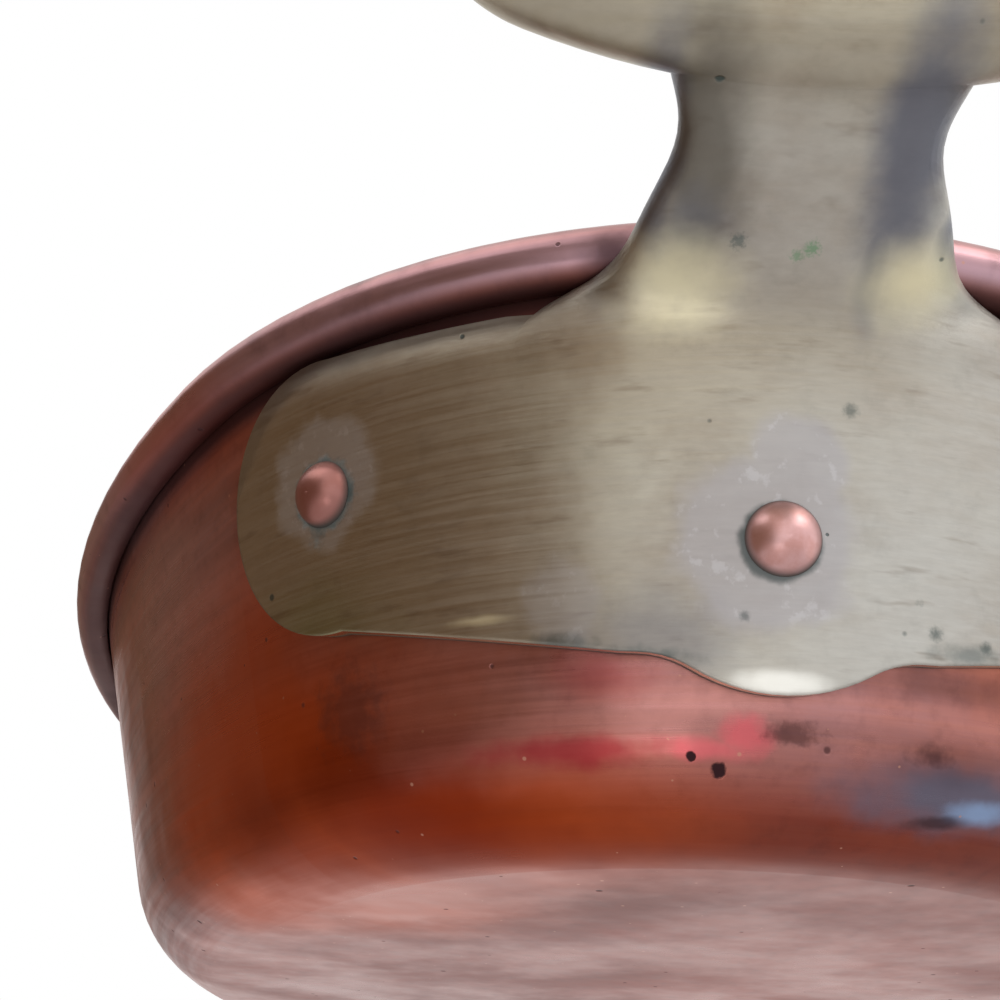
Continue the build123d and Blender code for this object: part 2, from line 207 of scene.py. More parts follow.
class Effects:
    """Node groups that several finishes share, each built once."""

    def __init__(self) -> None:
        """Build every group."""
        along, across = math.sin(WALL_FLARE), math.cos(WALL_FLARE)
        self.wall_depth = self._wall("wall_depth", (-across, along))
        self.wall_drop = self._wall("wall_drop", (-along, -across))
        self.brush = self._brush()
        self.cloud = self._cloud()
        self.specks = self._specks()
        self.spot = self._spot()

    @staticmethod
    def _start(
        name: str, inputs: dict[str, object]
    ) -> tuple[bpy.types.NodeTree, Graph, dict[str, Socket], Socket]:
        """Make an empty group.

        Args:
            name: the group's name.
            inputs: input names with their plain values; a tuple makes a vector.

        Returns:
            The tree, its graph, the inputs by name and the output socket.
        """
        tree = bpy.data.node_groups.new(name, "ShaderNodeTree")
        for label, value in inputs.items():
            kind = "NodeSocketVector" if isinstance(value, tuple) else "NodeSocketFloat"
            socket = tree.interface.new_socket(name=label, in_out="INPUT", socket_type=kind)
            socket.default_value = value
        tree.interface.new_socket(name="Mask", in_out="OUTPUT", socket_type="NodeSocketFloat")
        graph = Graph(tree)
        source = graph.add("NodeGroupInput")
        sink = graph.add("NodeGroupOutput")
        return tree, graph, {label: source.outputs[label] for label in inputs}, sink.inputs[0]

    def _wall(self, name: str, shares: tuple[float, float]) -> bpy.types.NodeTree:
        """Distance from the bead's centre, along one line in the wall's section.

        Args:
            name: the group's name.
            shares: how far the line runs outward and upward, for a length of 1.

        Returns:
            The group's tree.
        """
        tree, g, given, out = self._start(name, {"Position": (0.0, 0.0, 0.0)})
        parts = g.add("ShaderNodeSeparateXYZ")
        g.feed(parts.inputs[0], given["Position"])
        x = g.maths("ABSOLUTE", parts.outputs[0])
        y = g.maths("ABSOLUTE", parts.outputs[1])
        end_x = g.maths("SUBTRACT", x, RIM_END_X)
        end = self._length(g, end_x, y)
        side = self._length(g, x, g.plus(y, RIM_SIDE_Y))
        at_side = g.maths("GREATER_THAN", y, g.times(end_x, RIM_JOIN_SLOPE))
        end_out = g.maths("SUBTRACT", end, RIM_END_RADIUS)
        side_out = g.maths("SUBTRACT", side, RIM_SIDE_RADIUS)
        away = g.between(at_side, end_out, side_out)
        rise = g.maths("SUBTRACT", parts.outputs[2], RIM_HEIGHT)
        g.feed(out, g.plus(g.times(away, shares[0]), g.times(rise, shares[1])))
        return tree

    @staticmethod
    def _length(g: Graph, x: Socket, y: Socket) -> Socket:
        """Length of a level line with the given steps along X and Y."""
        return g.maths("SQRT", g.plus(g.maths("POWER", x, 2.0), g.maths("POWER", y, 2.0)))

    def _brush(self) -> bpy.types.NodeTree:
        """Fine level lines left by polishing, long in X and Y and thin in Z."""
        tree, g, given, out = self._start(
            "brush_lines", {"Position": (0.0, 0.0, 0.0), "Along": 40.0, "Across": 2400.0}
        )
        stretch = g.add("ShaderNodeCombineXYZ")
        for socket, term in zip(stretch.inputs, (given["Along"], given["Along"], given["Across"])):
            g.feed(socket, term)
        place = g.vectors("MULTIPLY", given["Position"], stretch.outputs[0])
        g.feed(out, g.step(g.noise(place, scale=1.0, detail=4.0, rough=0.6), 0.3, 0.7))
        return tree

    def _cloud(self) -> bpy.types.NodeTree:
        """Soft blotches with a chosen size and edge."""
        tree, g, given, out = self._start(
            "cloud", {"Position": (0.0, 0.0, 0.0), "Scale": 30.0, "Low": 0.4, "High": 0.6}
        )
        soft = g.noise(given["Position"], given["Scale"], detail=5.0, rough=0.6)
        g.feed(out, g.step(soft, given["Low"], given["High"]))
        return tree

    def _specks(self) -> bpy.types.NodeTree:
        """Small scattered pits, of which only a share of the places hold one."""
        tree, g, given, out = self._start(
            "specks", {"Position": (0.0, 0.0, 0.0), "Scale": 500.0, "Size": 0.2, "Share": 0.1}
        )
        cells = g.add("ShaderNodeTexVoronoi")
        g.feed(cells.inputs["Vector"], given["Position"])
        g.feed(cells.inputs["Scale"], given["Scale"])
        chance = g.add("ShaderNodeSeparateColor")
        g.feed(chance.inputs[0], cells.outputs["Color"])
        kept = g.maths("LESS_THAN", chance.outputs[0], given["Share"])
        size = g.times(given["Size"], chance.outputs[1])
        near = g.fade(cells.outputs["Distance"], g.times(size, 0.5), size)
        g.feed(out, g.times(near, kept))
        return tree

    def _spot(self) -> bpy.types.NodeTree:
        """Round patch about a point, with a ragged edge."""
        tree, g, given, out = self._start(
            "spot",
            {"Position": (0.0, 0.0, 0.0), "Centre": (0.0, 0.0, 0.0), "Shape": (1.0, 1.0, 1.0),
             "Radius": 0.01, "Soft": 0.1, "Ragged": 0.3, "Grain": 150.0},
        )
        away = g.vectors("SUBTRACT", given["Position"], given["Centre"])
        gap = g.vectors("LENGTH", g.vectors("MULTIPLY", away, given["Shape"]), out=1)
        wander = g.maths("SUBTRACT", g.noise(given["Position"], given["Grain"]), 0.5)
        wander = g.times(g.times(wander, given["Ragged"]), 2.0)
        reach = g.plus(g.maths("DIVIDE", gap, given["Radius"]), wander)
        low = g.maths("SUBTRACT", 1.0, given["Soft"])
        high = g.plus(1.0, given["Soft"])
        g.feed(out, g.fade(reach, low, high))
        return tree


@dataclass(frozen=True)
class Patch:
    """One painted mark.

    Attributes:
        centre: its middle, on the right-hand end.
        radius: how far it reaches along an axis whose shape is 1.
        strength: how much of it shows.
        soft: share of the radius over which its edge fades.
        ragged: how far its edge wanders, as a share of the radius.
        grain: scale of that wander.
        shape: stretch of distance along each axis, small where the mark is long.
    """

    centre: Point
    radius: float
    strength: float = 1.0
    soft: float = 0.1
    ragged: float = 0.3
    grain: float = 150.0
    shape: Point = (1.0, 1.0, 1.0)


class Finish:
    """Base of a metal finish: a material with one Principled shader and a bump."""

    name: str = "metal"

    def __init__(self, effects: Effects, turn: float = 0.0, suffix: str = "") -> None:
        """Start the material.

        Args:
            effects: the shared node groups.
            turn: angle about Z that brings the piece onto the right-hand one.
            suffix: added to the material's name.
        """
        self.effects = effects
        self.material, self.graph = new_material(self.name + suffix)
        self.place = self.graph.add("ShaderNodeTexCoord").outputs["Object"]
        mapped = self.graph.add("ShaderNodeMapping")
        self.graph.feed(mapped.inputs["Vector"], self.place)
        mapped.inputs["Rotation"].default_value = (0.0, 0.0, turn)
        self.part_place = mapped.outputs[0]

    def along(self, place: Socket, axis: int) -> Socket:
        """One coordinate of a position, in metres: 0 for X and 2 for Z."""
        parts = self.graph.add("ShaderNodeSeparateXYZ")
        self.graph.feed(parts.inputs[0], place)
        return parts.outputs[axis]

    def marks(self, patches: tuple[Patch, ...]) -> Socket:
        """Mask of several patches, the strongest at each point."""
        g, masks = self.graph, []
        for patch in patches:
            mask = g.effect(
                self.effects.spot, Position=self.part_place, Centre=patch.centre,
                Shape=patch.shape, Radius=patch.radius, Soft=patch.soft,
                Ragged=patch.ragged, Grain=patch.grain,
            )
            masks.append(g.times(mask, patch.strength))
        return g.larger(*masks)

    def brush(self, along: float, across: float) -> Socket:
        """Mask of level brushed lines."""
        return self.graph.effect(
            self.effects.brush, Position=self.place, Along=along, Across=across
        )

    def cloud(self, scale: float, low: float, high: float) -> Socket:
        """Mask of soft blotches."""
        return self.graph.effect(
            self.effects.cloud, Position=self.place, Scale=scale, Low=low, High=high
        )

    def specks(self, scale: float, size: float, share: float) -> Socket:
        """Mask of scattered pits."""
        return self.graph.effect(
            self.effects.specks, Position=self.place, Scale=scale, Size=size, Share=share
        )

    def paint(self, colour: Socket, coats: tuple[tuple[Socket, float, Colour], ...]) -> Socket:
        """Lay tints over a colour, in order.

        Args:
            colour: the colour beneath.
            coats: for each tint its mask, its strength and its colour.

        Returns:
            The painted colour's socket.
        """
        for mask, strength, tone in coats:
            shown = mask if strength == 1.0 else self.graph.times(mask, strength)
            colour = self.graph.tint(shown, colour, linear(tone))
        return colour

    def close(
        self, colour: Socket, rough: Socket, metallic: Socket, height: Socket, relief: float,
        rounding: object = None,
    ) -> Material:
        """Finish the material with its shader.

        Args:
            colour: base colour.
            rough: roughness.
            metallic: share of bare metal.
            height: bump height, from 0 to 1.
            relief: what a height of 1 is worth, in metres.
            rounding: radius that the edges look worn to, in metres, if any.

        Returns:
            The material.
        """
        g = self.graph
        bump = g.add("ShaderNodeBump")
        bump.inputs["Distance"].default_value = relief
        bump.inputs["Strength"].default_value = 1.0
        g.feed(bump.inputs["Height"], height)
        if rounding is not None:
            worn = g.add("ShaderNodeBevel", samples=8)
            g.feed(worn.inputs["Radius"], rounding)
            g.feed(bump.inputs["Normal"], worn.outputs[0])
        shader = g.add("ShaderNodeBsdfPrincipled")
        g.feed(shader.inputs["Base Color"], colour)
        g.feed(shader.inputs["Roughness"], rough)
        g.feed(shader.inputs["Metallic"], metallic)
        g.feed(shader.inputs["Normal"], bump.outputs[0])
        out = g.add("ShaderNodeOutputMaterial")
        g.feed(out.inputs["Surface"], shader.outputs[0])
        return self.material


@dataclass(frozen=True)
class CopperColours:
    """Colours of the worn copper sheet, and of the reflections and shade painted on it."""

    red_brown: Colour = (190, 112, 92)
    # Orange of the painted reflection on the copper's front flank.
    orange: Colour = (216, 92, 26)
    mauve: Colour = (186, 128, 120)
    # Also paints the shade and shadows among the dark marks.
    tarnish: Colour = (60, 34, 38)
    streak: Colour = (214, 140, 116)
    dust: Colour = (214, 160, 136)
    # Colours of painted reflections below the flange: crimson, rose, pink, slate and sky.
    crimson: Colour = (170, 44, 56)
    rose: Colour = (240, 112, 120)
    pink: Colour = (232, 164, 154)
    slate: Colour = (118, 116, 134)
    sky: Colour = (160, 186, 226)
    # Mauve tint; on the wall under the flange's tip it is a painted reflection.
    mauve_tint: Colour = (212, 170, 178)
    bead: Colour = (204, 152, 148)
    # Paler lilac painted on the bead's lower and outer face as a reflection.
    roll: Colour = (204, 170, 182)
    # Dark orange-red of the painted reflection that darkens the wall towards its foot.
    dark_foot_reflection: Colour = (148, 52, 18)
    # Darker orange of the reflection painted low on the front of the wall.
    scorch: Colour = (138, 42, 10)


class CopperFinish(Finish):
    """Copper that was polished level, and has browned with use, with reflections and shade painted
    into its colour.
    """

    name = "worn_copper"
    colours = CopperColours()
    outer_face = (0.0018, 0.0026)
    under_roll = ((0.0012, 0.0030), (0.0036, 0.0062))
    bead_foot = (0.0010, 0.0028)
    bead_face = (-0.0034, 0.0010)
    # Band, from the foot up, of that painted darker reflection.
    low_wall = (0.001, 0.010)
    # Painted orange reflection low on the front flank of the right-hand end and by the rim there,
    # with a copy on the back flank of the left-hand end.
    orange_reflection_zone = (
        Patch((0.104, -0.056, 0.008), 0.020, 0.9, 0.6, 0.5, 40.0, (0.7, 0.7, 1.0)),
        Patch((0.125, -0.030, 0.000), 0.010, 0.7, 0.8, 0.5, 60.0, (0.6, 0.5, 1.3)),
        Patch((0.1120, -0.0700, 0.0512), 0.0085, 0.4, 0.9, 0.4, 80.0, (0.6, 0.6, 1.6)),
        Patch((-0.090, 0.060, 0.012), 0.040, 0.7, 0.8, 0.5, 40.0),
    )
    # Painted reflections on the wall below the flange: crimson, rose, pink, and slate with a
    # sky-blue streak.
    crimson_reflection = (
        Patch((0.1306, -0.0195, 0.0080), 0.0012, 0.75, 0.7, 0.8, 260.0, (0.3, 0.12, 1.0)),
        Patch((0.1335, -0.0170, 0.0145), 0.0020, 0.45, 0.9, 0.7, 200.0, (1.0, 0.35, 1.0)),
    )
    rose_reflection = (
        Patch((0.1338, -0.0030, 0.0092), 0.0017, 0.8, 0.6, 0.7, 300.0, (1.0, 0.7, 1.0)),
        Patch((0.1335, -0.0065, 0.0078), 0.0010, 0.7, 0.8, 0.7, 300.0, (1.0, 0.25, 1.0)),
    )
    pink_reflection = (
        Patch((0.1338, -0.0105, 0.0112), 0.0022, 0.3, 0.9, 0.5, 200.0, (1.0, 0.3, 1.0)),
        Patch((0.1317, -0.0288, 0.0163), 0.0010, 0.7, 0.5, 0.4, 400.0, (1.0, 0.8, 1.0)),
        Patch((0.1275, -0.0310, 0.0130), 0.0050, 0.35, 0.9, 0.5, 150.0, (0.8, 0.5, 1.0)),
    )
    slate_reflection = (
        Patch((0.1290, 0.0178, 0.0056), 0.0026, 0.95, 0.7, 0.45, 200.0, (0.5, 0.24, 1.0)),
    )
    sky_reflection = (
        Patch((0.1278, 0.0210, 0.0046), 0.0009, 0.95, 0.7, 0.6, 300.0, (0.5, 0.25, 1.0)),
    )
    # Painted darker orange reflection low on the front of the wall, near its foot.
    dark_orange_reflection_zone = (
        Patch((0.1195, -0.0355, 0.0040), 0.0090, 0.85, 0.7, 0.5, 80.0, (0.7, 0.45, 1.3)),
        Patch((0.1055, -0.0500, 0.0025), 0.0090, 0.65, 0.8, 0.5, 80.0, (0.7, 0.55, 1.2)),
    )
    # Mauve tint on the front flank, and a painted mauve reflection on the wall under the flange's
    # tip.
    mauve_tint_zone = (
        Patch((0.098, -0.068, 0.036), 0.018, 0.8, 0.8, 0.5, 60.0),
        Patch((0.134, -0.005, 0.012), 0.010, 0.4, 0.9, 0.6, 120.0, (1.0, 0.45, 1.0)),
    )
    # Dark marks. The one on the rim by the neck's root is a painted shadow, the two below the
    # flange on its +Y side are painted shade, and the small one at the slate patch's foot is its
    # painted dark lower edge; the others are dark blotches.
    stains_and_shade = (
        Patch((0.1211, -0.0418, 0.0142), 0.0040, 0.55, 0.6, 0.9, 500.0),
        Patch((0.1323, -0.0052, 0.0062), 0.00075, 1.0, 0.2, 0.6, 900.0),
        Patch((0.1328, -0.0078, 0.0073), 0.00045, 1.0, 0.2, 0.6, 900.0),
        Patch((0.1340, 0.0014, 0.0096), 0.0011, 0.6, 0.6, 1.2, 700.0, (1.0, 0.5, 1.0)),
        Patch((0.1318, 0.0150, 0.0086), 0.0010, 0.75, 0.7, 1.0, 400.0, (0.8, 0.4, 1.0)),
        Patch((0.1275, 0.0150, 0.0036), 0.0006, 0.75, 0.6, 0.8, 300.0, (0.6, 0.15, 1.0)),
        Patch((0.1340, 0.0170, 0.0148), 0.0016, 0.45, 0.8, 0.6, 260.0, (0.6, 0.16, 1.0)),
        Patch((0.1312, 0.0185, 0.0080), 0.0016, 0.35, 0.8, 0.6, 260.0, (0.6, 0.3, 1.0)),
        Patch((0.1508, -0.0166, 0.0518), 0.0030, 0.8, 0.8, 0.4, 200.0),
        Patch((0.1400, -0.0440, 0.0518), 0.0200, 0.16, 0.9, 0.4, 60.0, (0.6, 0.8, 3.0)),
    )

    def build(self) -> Material:
        """Make the copper's nodes."""
        g, e, c = self.graph, self.effects, self.colours
        lines = self.brush(along=30.0, across=1500.0)
        broad = self.brush(along=14.0, across=260.0)
        blotch = self.cloud(scale=34.0, low=0.38, high=0.66)
        mottle = self.cloud(scale=90.0, low=0.48, high=0.72)
        fine = self.cloud(scale=420.0, low=0.45, high=0.75)
        pits = self.specks(scale=420.0, size=0.22, share=0.12)
        dust = self.specks(scale=900.0, size=0.25, share=0.06)
        drop = g.effect(e.wall_drop, Position=self.place)
        depth = g.effect(e.wall_depth, Position=self.place)
        outer = g.fade(depth, *self.outer_face)
        # Darker band under the rolled rim, on the outer face.
        under = g.times(g.band(drop, *self.under_roll), outer)
        # Painted darker reflection towards the wall's foot.
        low = g.fade(self.along(self.place, 2), *self.low_wall)
        bead = g.fade(drop, *self.bead_foot)
        # The bead's lower and outer face, which takes a painted paler reflection.
        roll = g.times(bead, g.step(drop, *self.bead_face))
        worn = g.times(broad, g.between(blotch, 0.2, 0.36))
        # Dark blotches, pits and painted shade.
        dark = g.larger(self.marks(self.stains_and_shade), g.times(pits, 0.7))
        darkened = g.larger(dark, under)
        colour = g.tint(blotch, linear(c.red_brown), linear(c.mauve))
        colour = self.paint(colour, (
            (self.marks(self.mauve_tint_zone), 1.0, c.mauve_tint),
            (bead, 0.8, c.bead),
            (low, 0.85, c.dark_foot_reflection),
            (worn, 1.0, c.tarnish),
            (g.times(lines, g.between(low, 0.22, 0.06)), 1.0, c.streak),
            (fine, 0.18, c.tarnish),
            (roll, 0.75, c.roll),
            (g.times(mottle, bead), 0.45, c.tarnish),
            # Painted reflections: orange, darker orange, pink, crimson, rose, slate and sky.
            (self.marks(self.orange_reflection_zone), 1.0, c.orange),
            (self.marks(self.dark_orange_reflection_zone), 1.0, c.scorch),
            (self.marks(self.pink_reflection), 1.0, c.pink),
            (self.marks(self.crimson_reflection), 1.0, c.crimson),
            (self.marks(self.rose_reflection), 1.0, c.rose),
            (self.marks(self.slate_reflection), 1.0, c.slate),
            (self.marks(self.sky_reflection), 1.0, c.sky),
            (worn, 0.5, c.tarnish),
            (under, 0.85, c.tarnish),
            (dark, 1.0, c.tarnish),
            (dust, 0.6, c.dust),
        ))
        rough = g.plus(g.between(blotch, 0.24, 0.36), g.times(lines, 0.08))
        rough = g.plus(rough, g.times(darkened, 0.25))
        metallic = g.between(darkened, 1.0, 0.85)
        height = g.plus(g.noise(self.place, scale=55.0, detail=2.0), g.times(lines, 0.012))
        height = g.maths("SUBTRACT", height, g.times(dark, 0.15))
        return self.close(colour, rough, metallic, height, relief=0.0004, rounding=0.0004)


@dataclass(frozen=True)
class BrassColours:
    """Colours of the tarnished cast brass, and of the reflections, highlights and shade painted on
    it.
    """

    olive: Colour = (188, 179, 158)
    # Tarnish tone, and the colour of the browner painted reflection.
    brown: Colour = (160, 142, 118)
    # Also the colour of the paler painted reflection.
    pale: Colour = (210, 209, 204)
    lilac: Colour = (186, 182, 186)
    grime: Colour = (62, 56, 48)
    green: Colour = (86, 150, 100)
    teal: Colour = (64, 84, 84)
    bright: Colour = (255, 246, 206)
    white: Colour = (255, 253, 244)
    blue: Colour = (108, 112, 126)
    # Olive of the painted shade along the neck's -Y edge.
    shade_olive: Colour = (106, 101, 92)
    # Colour of the greener painted reflection low on the front pad.
    moss: Colour = (140, 142, 96)
    rub: Colour = (116, 94, 72)
    chalk: Colour = (226, 224, 226)


class BrassFinish(Finish):
    """Cast brass that was brushed level and has gone olive, with grey halos at the rivets, and with
    reflections, highlights and shade painted into its colour.
    """

    name = "tarnished_brass"
    colours = BrassColours()
    flange_top = (0.002, 0.006)
    face_edge = ((-0.0010, -0.0007), (0.0001, 0.0007))
    back_edge = (0.0005, 0.0012)
    neck_foot = (0.002, 0.010)
    ear_start = (0.163, 0.176)
    root = (0.012, 0.016)
    # Painted reflection: browner on the flange's -Y side and by the neck.
    brown_reflection_zone = (
        Patch((0.1365, -0.0230, 0.0195), 0.0080, 0.6, 0.8, 0.5, 80.0, (0.8, 0.6, 1.0)),
        Patch((0.1375, -0.0120, 0.0162), 0.0044, 0.85, 0.8, 0.5, 120.0, (0.8, 0.6, 1.0)),
        Patch((0.126, -0.052, 0.036), 0.026, 0.6, 0.8, 0.3, 40.0),
        Patch((0.145, -0.008, 0.044), 0.012, 0.4, 0.8, 0.5, 60.0, (1.0, 0.5, 1.3)),
    )
    # Painted reflection: paler on the flange's +Y side.
    pale_reflection_zone = (
        Patch((0.140, 0.014, 0.018), 0.024, 0.75, 0.9, 0.3, 40.0),
        Patch((0.134, 0.034, 0.036), 0.026, 0.8, 0.9, 0.3, 40.0),
    )
    halos = (
        Patch((0.1428, -0.0015, 0.0255), 0.0088, 0.72, 0.14, 0.35, 130.0),
        Patch((0.1452, 0.0015, 0.0325), 0.0050, 0.72, 0.18, 0.35, 130.0),
        Patch((0.1298, -0.0460, 0.0369), 0.0074, 0.45, 0.12, 0.4, 170.0),
        Patch((0.1298, 0.0460, 0.0369), 0.0078, 0.5, 0.12, 0.4, 190.0),
        Patch((0.1380, -0.0202, 0.0205), 0.0040, 0.35, 0.3, 0.7, 200.0),
    )
    rings = (
        Patch((0.1423, -0.0003, 0.0254), 0.0039, 0.7, 0.10, 0.14, 420.0),
        Patch((0.1297, -0.0461, 0.0352), 0.0041, 0.75, 0.14, 0.26, 700.0),
        Patch((0.1298, 0.0461, 0.0354), 0.0039, 0.7, 0.06, 0.12, 420.0),
    )
    greens = (
        Patch((0.1558, 0.0015, 0.0496), 0.0006, 0.6, 0.8, 1.6, 3200.0),
        Patch((0.1551, 0.0002, 0.0492), 0.0005, 0.5, 0.8, 1.6, 3200.0),
    )
    teals = (
        Patch((0.1561, -0.0055, 0.0499), 0.0006, 0.6, 0.8, 1.4, 2600.0),
        Patch((0.1460, 0.0065, 0.0381), 0.0006, 0.55, 0.8, 0.8, 2600.0),
        Patch((0.1372, 0.0196, 0.0177), 0.0005, 0.6, 0.8, 0.8, 2600.0),
        Patch((0.1401, -0.0036, 0.0186), 0.0004, 0.5, 0.8, 0.8, 2600.0),
        Patch((0.1390, 0.0146, 0.0182), 0.0006, 0.65, 0.8, 0.8, 2600.0),
        Patch((0.1402, 0.0130, 0.0207), 0.0004, 0.5, 0.8, 0.8, 2600.0),
        Patch((0.1315, -0.0432, 0.0346), 0.0009, 0.6, 0.8, 1.2, 1800.0),
        Patch((0.1283, -0.0470, 0.0305), 0.0010, 0.5, 0.8, 1.2, 1800.0),
    )
    shadows = (
        Patch((0.1640, -0.0142, 0.0540), 0.0022, 0.85, 0.6, 0.5, 160.0, (0.2, 1.0, 0.2)),
        Patch((0.1545, -0.0168, 0.0510), 0.0030, 0.6, 0.7, 0.5, 160.0, (0.5, 1.0, 0.5)),
        Patch((0.1387, -0.0120, 0.0168), 0.0036, 0.4, 0.8, 0.5, 200.0, (0.8, 0.5, 1.0)),
        Patch((0.1650, 0.0092, 0.0545), 0.0036, 0.85, 0.6, 0.4, 200.0, (0.28, 1.0, 0.28)),
        Patch((0.1545, 0.0078, 0.0492), 0.0014, 0.75, 0.7, 0.5, 300.0, (0.25, 1.0, 0.25)),
        Patch((0.1552, 0.0148, 0.0506), 0.0015, 0.85, 0.6, 0.5, 300.0, (0.35, 1.0, 0.35)),
        Patch((0.1575, -0.0098, 0.0506), 0.0020, 0.4, 0.8, 0.7, 300.0, (0.7, 0.6, 0.7)),
    )
    # Painted shade along the neck's -Y edge.
    neck_shade_marks = (
        Patch((0.1640, -0.0100, 0.0540), 0.0036, 0.8, 0.6, 0.5, 160.0, (0.28, 1.0, 0.28)),
        Patch((0.1600, -0.0070, 0.0520), 0.0024, 0.45, 0.8, 0.6, 200.0, (0.4, 1.0, 0.4)),
    )
    glints = (
        Patch((0.1518, -0.0112, 0.0481), 0.0029, 0.75, 0.95, 0.35, 300.0, (0.75, 0.6, 0.75)),
        Patch((0.1524, 0.0119, 0.0488), 0.0024, 0.85, 0.95, 0.3, 300.0, (0.75, 0.6, 0.75)),
        Patch((0.1345, -0.0290, 0.0193), 0.0010, 0.55, 0.9, 0.5, 300.0, (1.0, 0.14, 2.6)),
    )
    shines = (Patch((0.1385, -0.0002, 0.0127), 0.0011, 1.0, 0.6, 0.3, 300.0, (1.0, 0.3, 1.0)),)
    grimes = (
        Patch((0.1365, -0.0195, 0.0166), 0.0008, 0.65, 0.8, 0.9, 600.0, (1.0, 0.15, 1.0)),
        Patch((0.1378, -0.0120, 0.0150), 0.0008, 0.65, 0.8, 0.9, 600.0, (1.0, 0.15, 1.0)),
        Patch((0.1375, 0.0180, 0.0168), 0.0008, 0.5, 0.8, 0.9, 600.0, (1.0, 0.15, 1.0)),
    )
    # Painted greener reflection low on the flange's front pad.
    green_reflection_zone = (
        Patch((0.1240, -0.0460, 0.0200), 0.0060, 0.6, 0.9, 0.5, 120.0, (1.0, 0.5, 1.0)),
    )

    def build(self) -> Material:
        """Make the brass's nodes."""
        g, e, c = self.graph, self.effects, self.colours
        lines = self.brush(along=45.0, across=2600.0)
        smear = self.brush(along=190.0, across=900.0)
        grain = self.brush(along=420.0, across=2400.0)
        blotch = self.cloud(scale=45.0, low=0.4, high=0.68)
        mottle = self.cloud(scale=300.0, low=0.5, high=0.8)
        pits = self.specks(scale=330.0, size=0.2, share=0.1)
        depth = g.effect(e.wall_depth, Position=self.place)
        drop = g.effect(e.wall_drop, Position=self.place)
        on_flange = g.step(drop, *self.flange_top)
        # Lighter band along the face's edges: polished wear, with a painted highlight.
        edge = g.times(g.band(depth, *self.face_edge), on_flange)
        seam = g.times(g.step(depth, *self.back_edge), on_flange)
        before_ear = g.fade(self.along(self.part_place, 0), *self.ear_start)
        neck = g.times(g.fade(drop, *self.neck_foot), before_ear)
        squat = g.vectors("MULTIPLY", self.place, (110.0, 110.0, 620.0))
        rubs = g.step(g.noise(squat, scale=1.0, detail=3.0, rough=0.6), 0.57, 0.74)
        halo, ring = self.marks(self.halos), self.marks(self.rings)
        scrape = g.effect(e.brush, Position=self.part_place, Along=500.0, Across=500.0)
        chalk = g.times(halo, g.step(scrape, 0.74, 1.0))
        green, teal = self.marks(self.greens), self.marks(self.teals)
        crust = g.larger(green, teal, ring)
        colour = g.tint(blotch, linear(c.olive), linear(c.brown))
        colour = self.paint(colour, (
            # Painted reflections: browner, paler and greener patches on the flange.
            (self.marks(self.brown_reflection_zone), 1.0, c.brown),
            (self.marks(self.pale_reflection_zone), 1.0, c.pale),
            (self.marks(self.green_reflection_zone), 1.0, c.moss),
            (neck, 0.55, c.pale),
            (g.times(smear, g.between(blotch, 0.08, 0.26)), 1.0, c.brown),
            (rubs, 0.34, c.rub),
            (grain, 0.08, c.grime),
            (lines, 0.10, c.pale),
            (mottle, 0.12, c.grime),
            # Painted shade on the neck and flange, then painted highlights.
            (self.marks(self.neck_shade_marks), 1.0, c.shade_olive),
            (self.marks(self.shadows), 1.0, c.blue),
            (self.marks(self.glints), 1.0, c.bright),
            (self.marks(self.shines), 1.0, c.white),
            (self.marks(self.grimes), 1.0, c.teal),
            (halo, 0.8, c.lilac),
            (chalk, 0.4, c.chalk),
            (ring, 1.0, c.teal),
            # Edges: polished wear with a painted highlight.
            (edge, 0.7, c.bright),
            (seam, 0.8, c.grime),
            (pits, 0.75, c.teal),
            (green, 1.0, c.green),
            (teal, 1.0, c.teal),
        ))
        rough = g.plus(g.between(blotch, 0.30, 0.42), g.times(lines, 0.08))
        rough = g.plus(rough, g.times(g.larger(crust, seam), 0.3))
        rough = g.maths("SUBTRACT", rough, g.times(edge, 0.12))
        metallic = g.between(g.larger(crust, g.times(halo, 0.4), seam), 1.0, 0.35)
        height = g.plus(g.noise(self.place, scale=90.0, detail=2.0), g.times(lines, 0.02))
        height = g.maths("SUBTRACT", height, g.times(pits, 0.25))
        rounding = g.between(g.fade(drop, *self.root), 0.0006, 0.0060)
        return self.close(colour, rough, metallic, height, relief=0.00022, rounding=rounding)


@dataclass(frozen=True)
class RivetColours:
    """Colours of a copper rivet, and of the tin on its inner end."""

    copper: Colour = (232, 186, 184)
    worn: Colour = (208, 146, 132)
    # Darker copper of the reflection painted on the front rivets.
    dull: Colour = (160, 104, 94)
    grime: Colour = (44, 58, 54)
    tin: Colour = (168, 166, 160)


